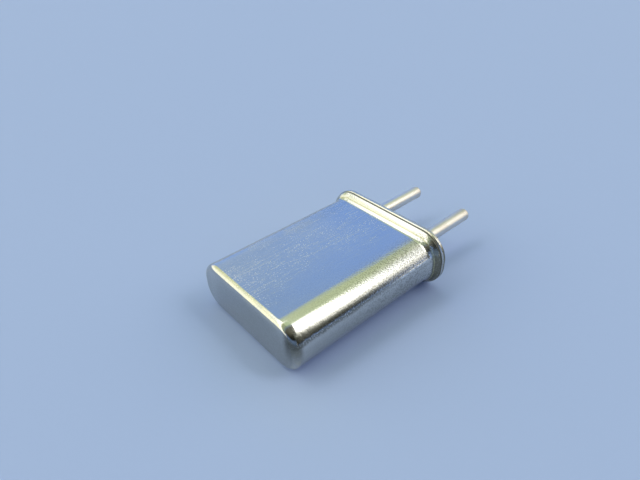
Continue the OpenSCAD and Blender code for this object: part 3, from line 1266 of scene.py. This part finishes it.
@dataclass(frozen=True)
class Can:
    """The drawn can: a sheet closed at one end and turned out into a flange at its mouth."""

    outline: CaseOutline
    layout: Layout
    mouth_h: float = 13.0
    wall: float = 0.27
    end_r: float = 0.4
    flange_out: float = 0.42
    flare_r: float = 0.5
    shoulder_r: float = 0.75
    rim_lean: float = 12.0
    seam_r: float = 0.06
    mouth_r: float = 0.25
    crease_r: float = 0.03
    wall_rows: int = 40
    inner_rows: int = 12
    cap_rings: int = 10
    plate: Colour = (0.59, 0.585, 0.56)
    tarnish: Colour = (0.50, 0.49, 0.45)

    def flare_turn(self) -> float:
        """Works out how far the wall turns out before the shoulder turns it back.

        The centres of the two arcs lie flare_r + shoulder_r apart, and their distances outwards
        differ by flare_r - shoulder_in. The quotient of the two is the angle's cosine.

        Returns:
            The angle, in degrees.
        """
        shoulder_in = self.flange_out - self.shoulder_r * math.cos(math.radians(self.rim_lean))
        reach = self.flare_r + self.shoulder_r
        return math.degrees(math.acos((self.flare_r - shoulder_in) / reach))

    def flare_h(self) -> float:
        """Works out where the wall starts to turn out.

        The centre of the flare's arc lies (flare_r + shoulder_r) * sin(turn) below the centre of
        the shoulder's.

        Returns:
            The height, in mm.
        """
        lean, turn = math.radians(self.rim_lean), math.radians(self.flare_turn())
        shoulder_h = self.mouth_h - self.seam_r + self.shoulder_r * math.sin(lean)
        return shoulder_h - (self.flare_r + self.shoulder_r) * math.sin(turn)

    def section(self) -> Section:
        """Draws the sheet's section with straight moves and arcs that meet smoothly.

        Returns:
            The section: out along the closed end, up the wall, out over the flange, round the
            mouth and back down inside.
        """
        turn = self.flare_turn()
        pen = SectionPen(-self.end_r, 0.0, 0.0)
        pen.turn(self.end_r, 90)
        pen.forward(self.flare_h() - self.end_r, steps=self.wall_rows, guard=LONG_GUARD_MM)
        pen.turn(self.flare_r, -turn).turn(self.shoulder_r, turn - self.rim_lean)
        pen.turn(self.crease_r, self.rim_lean)
        pen.forward(max(0.0, self.mouth_h - self.seam_r - pen.position[1]) + LEAST_MOVE_MM)
        pen.turn(self.seam_r, 90)
        pen.forward(pen.position[0] + self.wall - self.mouth_r, guard=GUARD_MM)
        pen.turn(self.mouth_r, 90)
        pen.forward(pen.position[1] - self.end_r, steps=self.inner_rows, guard=LONG_GUARD_MM)
        pen.turn(self.end_r - self.wall, -90)
        return pen.section()

    def build(self) -> bpy.types.Object:
        """Makes the can's closed mesh.

        Returns:
            The object, dressed and riding on its body in place of the plain solid.
        """
        path = self.outline.spokes()
        wall = carry(self.section(), path, self.layout)
        outer = flat_cap(path, self.layout, -self.end_r, 0.0, False, self.cap_rings, 0.0)
        inner = flat_cap(path, self.layout, -self.end_r, self.wall, True, self.cap_rings,
                         float(wall.along[-1]))
        can = SheetOfPatches().add(outer).add(wall).add(inner).build("can_shell")
        finish = PlatedSheet("can_plate", self.plate, self.tarnish,
                             *flange_lines(self, self.layout))
        dress(can, finish.material(), "can")
        return can


def flange_lines(can: Can, layout: Layout) -> tuple[float, float]:
    """Where the flange's crease and its weld seam lie along Y, in mm."""
    crease_h = can.flare_h() + can.flare_r * math.sin(math.radians(can.flare_turn()))
    return crease_h - layout.length / 2, can.mouth_h - layout.length / 2


@dataclass(frozen=True)
class Collar:
    """A collar drawn up round a pin's hole, as a section round the hole's axis."""

    plug_top: float = 12.4
    base_wall: float = 0.4
    height: float = 0.7
    wall: float = 0.2
    bore_r: float = 0.8
    entry_r: float = 0.15
    edge_r: float = 0.04
    root_r: float = 0.05
    bore_rows: int = 6
    outer_rows: int = 4
    arc_step_deg: float = 7.5

    def section(self) -> Section:
        """Draws the collar's section, in distances from the hole's axis.

        Returns:
            The section: from the underside in through the bore, over the collar's end and down
            outside it.
        """
        hollow_h = self.plug_top + self.base_wall
        top = self.plug_top - self.height
        bore = hollow_h - self.entry_r - top - self.edge_r
        outer = self.height - self.edge_r - self.root_r
        pen = SectionPen(self.bore_r + self.entry_r, hollow_h, 180.0, self.arc_step_deg)
        pen.turn(self.entry_r, 90).forward(bore, steps=self.bore_rows)
        pen.turn(self.edge_r, 90).forward(self.wall - 2 * self.edge_r).turn(self.edge_r, 90)
        pen.forward(outer, steps=self.outer_rows).turn(self.root_r, -90)
        return pen.section()


@dataclass(frozen=True)
class Base:
    """The pressed base: a flange, a raised middle hollow from below, and two collars."""

    outline: CaseOutline
    layout: Layout
    collar: Collar = field(default_factory=Collar)
    mouth_h: float = 13.0
    case_h: float = 13.4
    flange_out: float = 0.42
    plug_in: float = 0.33
    base_wall: float = 0.4
    plug_r: float = 0.25
    lip_r: float = 0.2
    rim_r: float = 0.16
    foot_r: float = 0.14
    crease_r: float = 0.04
    pin_x: float = 2.44
    seam_steps: int = 24
    floor_rows: int = 6
    plate: Colour = (0.58, 0.57, 0.54)
    tarnish: Colour = (0.48, 0.46, 0.40)
    shine: float = 0.2
    scuffed: float = 0.6

    def rim_section(self) -> Section:
        """Draws the rim's section with straight moves and arcs that meet smoothly.

        Returns:
            The section: from the raised middle out over the flange and back under it.
        """
        plug_top = self.collar.plug_top
        pen = SectionPen(-self.plug_in - self.plug_r, plug_top, 0.0)
        pen.turn(self.plug_r, 90)
        pen.forward(self.mouth_h - self.crease_r - pen.position[1], guard=GUARD_MM)
        pen.turn(self.crease_r, -90).forward(self.flange_out - self.rim_r - pen.position[0])
        pen.turn(self.rim_r, 90)
        pen.forward(self.case_h - self.foot_r - pen.position[1])
        pen.turn(self.foot_r, 90)
        hollow_in = self.plug_in + self.base_wall
        pen.forward(pen.position[0] + hollow_in - self.lip_r, guard=GUARD_MM)
        pen.turn(self.lip_r, 90)
        pen.forward(pen.position[1] - plug_top - self.base_wall - self.crease_r, guard=GUARD_MM)
        pen.turn(self.crease_r, -90)
        return pen.section()

    def half_columns(self, spokes: int, side: Side) -> np.ndarray:
        """Numbers of the spokes along one half of the rim, with both of its ends.

        Args:
            spokes: Number of spokes round the case.
            side: The half that is wanted.

        Returns:
            The spokes' numbers, anticlockwise.
        """
        half = spokes // 2
        if side is Side.RIGHT:
            return np.arange(0, half + 1)
        return np.arange(half, spokes + 1) % spokes

    def half_floor(self, path: Spokes, rim: Section, side: Side) -> Patch:
        """One half of the pressed middle, from the rim's underside in to its collar and out again.

        Column j runs from point B_j on the half's border to point C_j on the collar's circle, at
        the angle at which the collar's axis sees B_j. Flat rows lie at B_j + s * (C_j - B_j).

        Args:
            path: The spokes round the case.
            rim: The rim's section, whose two ends the border takes.
            side: The half that is wanted.

        Returns:
            The patch, which meets the rim and the other half point for point.
        """
        columns = self.half_columns(len(path.feet), side)
        centre = np.array([side.value * self.pin_x, 0.0])
        drop = np.linspace(1.0, -1.0, self.seam_steps + 1)[1:-1] * side.value

        def border(out: float) -> np.ndarray:
            """The half's border: its share of the rim, then the seam along x = 0.

            Args:
                out: Distance outwards, in mm.

            Returns:
                Points (columns, 2), in mm.
            """
            share = path.ring(out)[columns]
            reach = self.outline.thickness / 2 + out
            seam = np.stack([np.zeros_like(drop), drop * reach], axis=-1)
            return np.concatenate([share, seam])

        upper, lower = border(rim.out[0]), border(rim.out[-1])
        seen = upper - centre
        directions = seen / np.linalg.norm(seen, axis=1)[:, None]
        tube = self.collar.section()
        circle = centre + tube.out[:, None, None] * directions[None]
        share = np.linspace(0.0, 1.0, self.floor_rows + 1)[:-1, None, None]
        inwards = lower + share * (circle[0] - lower)
        outwards = (upper + share * (circle[-1] - upper))[::-1]
        across = np.concatenate([inwards, circle, outwards])
        height = np.concatenate([np.full(self.floor_rows, tube.height[0]), tube.height,
                                 np.full(self.floor_rows, tube.height[-1])])
        points = self.layout.place(across, height[:, None])
        normals = np.zeros_like(points)
        body = slice(self.floor_rows, self.floor_rows + len(tube.out))
        normals[: self.floor_rows, :, 1] = 1.0
        normals[-self.floor_rows:, :, 1] = -1.0
        normals[body, :, 0] = tube.normal_out[:, None] * directions[None, :, 0]
        normals[body, :, 1] = tube.normal_height[:, None]
        normals[body, :, 2] = tube.normal_out[:, None] * directions[None, :, 1]
        flat = np.zeros(self.floor_rows)
        gaps = np.linalg.norm(np.roll(upper, -1, axis=0) - upper, axis=1)
        steps = np.linalg.norm(np.diff(points[:, 0], axis=0), axis=1)
        return Patch(points, normals, np.concatenate([flat, tube.bend, flat]),
                     running(gaps), running(steps))

    def build(self) -> bpy.types.Object:
        """Makes the base's closed mesh.

        Returns:
            The object, dressed and riding on its body in place of the plain solid.
        """
        path = self.outline.spokes()
        rim = self.rim_section()
        sheet = SheetOfPatches().add(carry(rim, path, self.layout))
        for side in Side:
            sheet.add(self.half_floor(path, rim, side))
        base = sheet.build("base_pressing")
        lines = flange_lines(Can(self.outline, self.layout), self.layout)
        finish = PlatedSheet("base_plate", self.plate, self.tarnish, *lines,
                             shine=self.shine, scuffed=self.scuffed)
        dress(base, finish.material(), "base")
        return base


def round_spokes(centre_x: float, steps: int) -> Spokes:
    """A circle about a pin's axis, as a path of spokes that all start on the axis."""
    turned = np.linspace(0.0, 2 * math.pi, steps, endpoint=False)
    return Spokes(np.tile([centre_x, 0.0], (steps, 1)),
                  np.stack([np.cos(turned), np.sin(turned)], axis=-1), 0.0)


@dataclass(frozen=True)
class GlassSeal:
    """The glass round a pin's neck, which has crept up the metal at both ends."""

    layout: Layout
    side: Side
    pin_x: float = 2.44
    neck_r: float = 0.35
    bore_r: float = 0.8
    top: float = 11.73
    bottom: float = 12.62
    dip: float = 0.08
    lip_r: float = 0.012
    wall_rows: int = 4
    arc_step_deg: float = 10.0
    steps: int = 96

    def section(self) -> Section:
        """Draws the ring's closed section.

        A hollow end is an arc of radius (h^2 + d^2) / 2d over half the gap h, dipped by d, and a
        small lip rounds it into the wall on each side.

        Returns:
            The section: the bore's wall, a hollow end, the neck's wall and the other end.
        """
        half = (self.bore_r - self.neck_r) / 2
        radius = (half ** 2 + self.dip ** 2) / (2 * self.dip)
        lean = math.asin(half / radius)
        corner = 90 + math.degrees(lean)
        chord = 2 * half - 2 * self.lip_r * (1 + math.sin(lean))
        hollow_r = chord / (2 * math.sin(lean))
        rise = self.lip_r * math.cos(lean)
        length = self.bottom - self.top - 2 * rise
        pen = SectionPen(self.bore_r, self.top + rise, 90.0, self.arc_step_deg)
        for _ in range(2):
            pen.forward(length, steps=self.wall_rows).turn(self.lip_r, corner)
            pen.turn(hollow_r, -2 * math.degrees(lean)).turn(self.lip_r, corner)
        # the last point lies on the first, so it is left out
        return Section(*(values[:-1] for values in astuple(pen.section())))

    def build(self, finish: bpy.types.Material) -> bpy.types.Object:
        """Makes the ring of glass.

        Args:
            finish: The glass.

        Returns:
            The object, dressed and riding on its body in place of the plain solid.
        """
        path = round_spokes(self.side.value * self.pin_x, self.steps)
        ring = carry(self.section(), path, self.layout, rows_close=True)
        word = self.side.name.lower()
        seal = SheetOfPatches().add(ring).build(f"glass_ring_{word}")
        dress(seal, finish, f"glass_seal_{word}")
        return seal


@dataclass(frozen=True)
class Pin:
    """A straight plug-in pin: a neck through the glass, a shoulder, a shank and a round tip."""

    layout: Layout
    side: Side
    pin_x: float = 2.44
    pin_r: float = 0.51
    neck_r: float = 0.35
    inner_end: float = 11.0
    shoulder_h: float = 13.4
    tip_r: float = 0.36
    edge_r: float = 0.03
    neck_rows: int = 8
    shank_rows: int = 24
    arc_step_deg: float = 6.0
    steps: int = 96

    def section(self) -> Section:
        """Draws the pin's section, in distances from its axis.

        Returns:
            The section: from the axis at the inner end out, along the neck, over the shoulder,
            along the shank and round the tip to the axis.
        """
        shank_end = self.layout.length - self.tip_r
        pen = SectionPen(AXIS_MM, self.inner_end, 0.0, self.arc_step_deg)
        pen.forward(self.neck_r - self.edge_r - pen.position[0], guard=GUARD_MM)
        pen.turn(self.edge_r, 90)
        pen.forward(self.shoulder_h - self.edge_r - pen.position[1], steps=self.neck_rows)
        pen.turn(self.edge_r, -90)
        pen.forward(self.pin_r - self.edge_r - pen.position[0]).turn(self.edge_r, 90)
        pen.forward(shank_end - pen.position[1], steps=self.shank_rows, guard=GUARD_MM)
        pen.turn(self.tip_r, 90).forward(pen.position[0] - AXIS_MM, guard=GUARD_MM)
        return pen.section()

    def build(self, finish: bpy.types.Material) -> bpy.types.Object:
        """Makes the pin.

        Args:
            finish: The plated wire.

        Returns:
            The object, dressed and riding on its body in place of the plain solid.
        """
        section = self.section()
        path = round_spokes(self.side.value * self.pin_x, self.steps)
        patch = carry(section, path, self.layout)
        points = patch.points.copy()
        for row in (0, -1):
            points[row] = points[row].mean(axis=0)
        closed = Patch(points, patch.normals, patch.bend, section_turns(self.pin_r, self.steps),
                       patch.along, first_is_pole=True, last_is_pole=True)
        word = self.side.name.lower()
        pin = SheetOfPatches().add(closed).build(f"pin_wire_{word}")
        dress(pin, finish, f"pin_{word}")
        return pin


def section_turns(radius: float, steps: int) -> np.ndarray:
    """Arc length round a pin to each of its spokes and back to the first, in mm."""
    return np.linspace(0.0, 2 * math.pi * radius, steps + 1)


def dress(piece: bpy.types.Object, finish: bpy.types.Material, node: str) -> None:
    """Gives a new piece its finish and its place in the model.

    Args:
        piece: The object.
        finish: Its material.
        node: The plain solid that the piece stands for.
    """
    piece.data.materials.append(finish)
    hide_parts(node)
    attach(piece, BODY)
    low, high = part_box(node)
    corners = np.array([v.co for v in piece.data.vertices])
    off = max(np.abs(corners.min(0) - low).max(), np.abs(corners.max(0) - high).max()) / MM
    log.info("%s: %d faces, box within %.4f mm of the solid's", piece.name,
             len(piece.data.polygons), off)


@dataclass(frozen=True)
class Works:
    """What the sealed can holds: clips, quartz, films and cement, which keep their solids."""

    def dress(self) -> None:
        """Gives every inner solid a finish of its own."""
        finishes = {
            SpringStrip().material(): ("spring_clip_left", "spring_clip_right"),
            GroundQuartz().material(): ("quartz_disc",),
            SilverFilm().material(): ("electrode_front", "electrode_back"),
            SilverCement().material(): ("cement_left", "cement_right"),
        }
        for finish, nodes in finishes.items():
            for node in nodes:
                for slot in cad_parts[node].material_slots:
                    slot.material = finish
                log.info("%s: keeps its solid, finish %s", node, finish.name)


# ---------------------------------------------------------------------------------------------
# Studio and camera
# ---------------------------------------------------------------------------------------------


@dataclass(frozen=True)
class Floor:
    """The plain pale floor that the crystal rests on."""

    layout: Layout
    can: Can
    colour: Colour = (0.42, 0.52, 0.80)
    half: float = 700.0
    roughness: float = 0.9
    shine: float = 0.2
    tooth_per_metre: float = 900.0
    tooth_mm: float = 0.02

    def build(self) -> bpy.types.Object:
        """Lays the floor under the crystal, which rests on its flange and its closed end.

        The floor is the plane through the lowest points of both, so it slopes a little along Y.

        Returns:
            The floor.
        """
        end_y = self.can.end_r - self.layout.length / 2
        rim_y = self.can.mouth_h - self.can.seam_r - self.layout.length / 2
        slope = -self.can.flange_out / (rim_y - end_y)
        half = self.half
        corners = [(x * MM, y * MM, slope * (y - rim_y) * MM) for x, y in
                   ((-half, -half), (half, -half), (half, half), (-half, half))]
        mesh = bpy.data.meshes.new("floor")
        mesh.from_pydata(corners, [], [(0, 1, 2, 3)])
        floor = bpy.data.objects.new("floor", mesh)
        bpy.context.scene.collection.objects.link(floor)
        recipe = Recipe("floor_card")
        tooth = recipe.noise(
            recipe.stretched(recipe.object_space, (self.tooth_per_metre,) * 3), detail=3.0)
        mesh.materials.append(recipe.finish(
            Base_Color=opaque(self.colour), Roughness=self.roughness,
            Specular_IOR_Level=self.shine, Normal=recipe.relief(tooth, self.tooth_mm)))
        return floor


class SkyGraph(NodeGraph):
    """The node tree of the room's light, with a direction's parts and its place on the ceiling."""

    def __init__(self, world: bpy.types.World, least_z: float) -> None:
        """Starts the tree.

        Args:
            world: The world that the tree lights.
            least_z: Height that a lower direction counts with, so that its place stays finite.
        """
        super().__init__(world)
        self.x, self.y, self.z = self.parts(self.coordinates["Generated"])
        height = self.sums("MAXIMUM", self.z, least_z)
        self.u = self.sums("DIVIDE", self.x, height)
        self.v = self.sums("DIVIDE", self.y, height)


@dataclass(frozen=True)
class Room:
    """Light by direction: a soft ceiling light with a bright strip, in a room of grey-blue walls.

    A direction (x, y, z) meets the ceiling at the place (u, v) = (x / z, y / z). The ceiling
    light lies on the near side of a line that is level in the middle, falls away on the left and
    climbs on the right. Past the line it falls through a fringe to the walls. On the right only a
    strip along the line stays bright: a veil and a dark quarter lie before it, and dusk below.
    A span names the part of the direction or of its place that it is measured on.
    """

    near_wall_light: Colour = (0.343, 0.550, 1.01)
    wall_light: Colour = (0.325, 0.555, 1.16)
    horizon_light: Colour = (0.39, 0.60, 1.08)
    fringe_light: Colour = (0.77, 0.90, 0.56)
    pale_light: Colour = (0.98, 1.08, 1.08)
    side_light: Colour = (1.75, 1.78, 1.45)
    ceiling_light: Colour = (2.4, 2.4, 2.28)
    strip_light: Colour = (4.6, 4.6, 4.4)
    strip_end_light: Colour = (0.98, 1.09, 1.14)
    olive_light: Colour = (0.60, 0.69, 0.45)
    rim_light: Colour = (1.65, 1.65, 1.52)
    back_dim_light: Colour = (0.52, 0.61, 0.70)
    sea_light: Colour = (0.52, 0.64, 0.90)
    back_light: Colour = (1.30, 1.26, 1.16)
    veil_light: Colour = (0.77, 0.94, 0.58)
    thin_light: Colour = (0.46, 0.55, 0.37)
    dusk_light: Colour = (0.30, 0.31, 0.26)
    night_light: Colour = (0.135, 0.14, 0.12)
    dim_light: Colour = (0.19, 0.19, 0.15)
    dark_light: Colour = (0.055, 0.06, 0.05)
    least_z: float = 0.02
    # the line: its level, its climb on the right, and the steep fall on the left
    line_v: float = 0.38
    climb: float = 0.64
    fall_v: float = 1.28
    fall: float = 1.5
    ceiling_past: Span = (0.10, -0.04)
    fringe_past: Span = (0.80, 0.42)
    fringe_u: Span = (-0.81, -0.70)
    fringe_pale_u: Span = (0.15, 0.55)
    far_wall_v: Span = (0.55, 1.05)
    strip_u: Span = (-0.12, 0.10)
    # the left side: a band of light low down, and a soft panel that widens to the left
    side_u: Span = (-0.735, -0.79)
    side_v: Span = (0.48, 0.15)
    side_fringe_z: Span = (0.25, 0.42)
    panel_v: Span = (0.25, -0.75)
    wide_panel_v: Span = (0.25, -1.45)
    wide_panel_u: Span = (-0.84, -0.96)
    # the far end of the strip, and the soft light that hangs behind it
    end_y: Span = (0.595, 0.645)
    end_u: Span = (-0.60, -0.35)
    end_pale_x: Span = (0.10, 0.38)
    back_y: Span = (0.655, 0.69)
    back_bright_x: Span = (-0.30, 0.20)
    # the strip's lower edge: it climbs from a turn towards the near side and sinks beyond it
    lower_z: float = 0.40
    turn_y: float = 0.47
    near_climb: float = 3.2
    near_reach: float = 0.07
    far_sink: float = 0.5
    low_x: Span = (0.45, 0.60)
    low_near_y: Span = (0.05, 0.14)
    low_far_y: Span = (0.69, 0.66)
    sea_y: Span = (0.575, 0.625)
    rim_above: Span = (0.22, 0.11)
    dusk_above: Span = (0.10, -0.10)
    night_above: Span = (-0.05, -0.22)
    # the veil before the line, and the dark near right quarter
    veil_u: Span = (-0.45, -0.30)
    veil_v: Span = (0.46, 0.40)
    veil_z: Span = (0.18, 0.32)
    thin_v: Span = (0.35, 0.0)
    quarter_u: Span = (-0.04, 0.22)
    quarter_v: Span = (0.44, 0.38)
    quarter_dark_z: Span = (0.30, 0.48)
    darkest_u: Span = (0.35, 1.10)
    ground_z: Span = (0.05, 0.0)

    def light(self) -> None:
        """Makes the world and lays the lights over each other, from the walls to the ground."""
        world = bpy.data.worlds.new("studio")
        bpy.context.scene.world = world
        sky = SkyGraph(world, self.least_z)
        walls = sky.blend(sky.fade(sky.v, *self.far_wall_v), self.near_wall_light, self.wall_light)
        colour = sky.layered(walls, (
            *self.ceiling(sky),
            *self.strip_end(sky),
            *self.below_strip(sky),
            *self.before_line(sky),
            (sky.fade(sky.z, *self.ground_z), self.wall_light),
        ))
        background = sky.node("ShaderNodeBackground", {"Color": colour, "Strength": 1.0})
        sky.node("ShaderNodeOutputWorld", {"Surface": background.outputs[0]})

    def past_line(self, sky: SkyGraph) -> Socket:
        """How far past the line a place lies: the greater of its distances past two lines.

        Args:
            sky: The light's node tree.

        Returns:
            The distance along v, which is negative on the near side.
        """
        right = sky.times(sky.sums("MAXIMUM", sky.u, 0.0), -self.climb)
        left = sky.times(sky.u, -self.fall)
        return sky.sums("MAXIMUM", sky.plus(sky.v, right, -self.line_v),
                        sky.plus(sky.v, left, -self.fall_v))

    def ceiling(self, sky: SkyGraph) -> Sequence[Layer]:
        """The warm fringe, the band on the left, the ceiling light with its strip, and the panel.

        Args:
            sky: The light's node tree.

        Returns:
            The shares and colours, from below.
        """
        past = self.past_line(sky)
        side = sky.fade(sky.u, *self.side_u)
        warm = sky.times(sky.fade(past, *self.fringe_past), sky.fade(sky.u, *self.fringe_u))
        fringe = sky.blend(sky.fade(sky.u, *self.fringe_pale_u), self.fringe_light,
                           self.pale_light)
        band = sky.blend(sky.fade(sky.z, *self.side_fringe_z), self.pale_light, self.fringe_light)
        strip = sky.blend(sky.fade(sky.u, *self.strip_u), self.ceiling_light, self.strip_light)
        panel = sky.blend(sky.fade(sky.u, *self.wide_panel_u), sky.fade(sky.v, *self.panel_v),
                          sky.fade(sky.v, *self.wide_panel_v))
        return (
            (warm, fringe),
            (sky.times(side, sky.fade(sky.v, *self.side_v)), band),
            (sky.times(sky.fade(past, *self.ceiling_past), sky.less(side)), strip),
            (sky.times(side, panel), self.side_light),
        )

    def strip_end(self, sky: SkyGraph) -> Sequence[Layer]:
        """The paler far end of the strip, and the soft light that hangs behind it.

        Args:
            sky: The light's node tree.

        Returns:
            The shares and colours, from below.
        """
        far = sky.times(sky.fade(sky.y, *self.end_y), sky.fade(sky.u, *self.end_u))
        end = sky.blend(sky.fade(sky.x, *self.end_pale_x), self.olive_light, self.strip_end_light)
        back = sky.blend(sky.fade(sky.x, *self.back_bright_x), self.back_dim_light,
                         self.back_light)
        return (far, end), (sky.fade(sky.y, *self.back_y), back)

    def below_strip(self, sky: SkyGraph) -> Sequence[Layer]:
        """The light that falls away below the strip through a rim and dusk into a dark corner.

        Args:
            sky: The light's node tree.

        Returns:
            The shares and colours, from below.
        """
        before_turn = sky.sums("MAXIMUM", sky.sums("SUBTRACT", self.turn_y, sky.y), 0.0)
        nearer = sky.sums("MINIMUM", before_turn, self.near_reach)
        further = sky.sums("MAXIMUM", sky.plus(sky.y, -self.turn_y), 0.0)
        above = sky.plus(sky.z, -self.lower_z, sky.times(nearer, -self.near_climb),
                         sky.times(further, self.far_sink))
        low = sky.times(sky.fade(sky.x, *self.low_x), sky.fade(sky.y, *self.low_near_y),
                        sky.fade(sky.y, *self.low_far_y))
        sea = sky.fade(sky.y, *self.sea_y)
        return (
            (sky.times(low, sky.fade(above, *self.rim_above)), self.rim_light),
            (sky.times(low, sky.fade(above, *self.dusk_above)),
             sky.blend(sea, self.dusk_light, self.sea_light)),
            (sky.times(low, sky.fade(above, *self.night_above)),
             sky.blend(sea, self.night_light, self.sea_light)),
        )

    def before_line(self, sky: SkyGraph) -> Sequence[Layer]:
        """The warm veil on the near side of the line, and the dark near right quarter.

        Args:
            sky: The light's node tree.

        Returns:
            The shares and colours, from below.
        """
        veil = sky.times(sky.fade(sky.u, *self.veil_u), sky.fade(sky.v, *self.veil_v),
                         sky.fade(sky.z, *self.veil_z))
        quarter = sky.times(sky.fade(sky.u, *self.quarter_u), sky.fade(sky.v, *self.quarter_v))
        return (
            (veil, sky.blend(sky.fade(sky.v, *self.thin_v), self.veil_light, self.thin_light)),
            (quarter, self.horizon_light),
            (sky.times(quarter, sky.fade(sky.z, *self.quarter_dark_z)),
             sky.blend(sky.fade(sky.u, *self.darkest_u), self.dim_light, self.dark_light)),
        )


@dataclass(frozen=True)
class ProductCamera:
    """A camera that looks down on the near corner of the closed end."""

    target: Colour = (0.0, -3.475, 2.22)
    azimuth_deg: float = 49.49
    elevation_deg: float = 36.13
    roll_deg: float = -1.69
    aside: float = 0.147
    lift: float = -2.208
    distance: float = 35.05
    focal_px: float = 497.3
    sensor_mm: float = 36.0
    sight_m: float = 10.0

    def build(self) -> bpy.types.Object:
        """Places the camera and makes it the scene's own.

        The view's backward axis comes from the azimuth and elevation, its right axis lies level,
        and both right and up axes are then rolled. The target sits off the view's centre by
        aside and lift.

        Returns:
            The camera.
        """
        angles = (self.azimuth_deg, self.elevation_deg, self.roll_deg)
        az, el, roll = (math.radians(angle) for angle in angles)
        back = Vector((math.sin(az) * math.cos(el), -math.cos(az) * math.cos(el), math.sin(el)))
        level = Vector((math.cos(az), math.sin(az), 0.0))
        upright = back.cross(level)
        right = level * math.cos(roll) + upright * math.sin(roll)
        up = -level * math.sin(roll) + upright * math.cos(roll)
        place = Vector(self.target) - self.aside * right - self.lift * up + self.distance * back
        data = bpy.data.cameras.new("product_camera")
        data.sensor_width = self.sensor_mm
        data.lens = self.focal_px / IMAGE_WIDTH_PX * self.sensor_mm
        data.clip_start = MM
        data.clip_end = self.sight_m
        camera = bpy.data.objects.new("product_camera", data)
        turn = Matrix((right, up, back)).transposed().to_4x4()
        camera.matrix_world = Matrix.Translation(place * MM) @ turn
        bpy.context.scene.collection.objects.link(camera)
        bpy.context.scene.camera = camera
        return camera


def main() -> None:
    """Builds the crystal piece by piece, then the floor, the light and the camera."""
    logging.basicConfig(level=logging.INFO, format="%(name)s %(message)s")
    layout = Layout(length=19.95, mid_z=2.22)
    outline = CaseOutline()
    can = Can(outline, layout)
    can.build()
    Base(outline, layout).build()
    glass, wire = SealGlass().material(), PinWire().material()
    for side in Side:
        GlassSeal(layout, side).build(glass)
        Pin(layout, side).build(wire)
    Works().dress()
    Floor(layout, can).build()
    Room().light()
    ProductCamera().build()
    bpy.context.scene.view_settings.view_transform = "Standard"


if __name__ == "__main__":
    main()
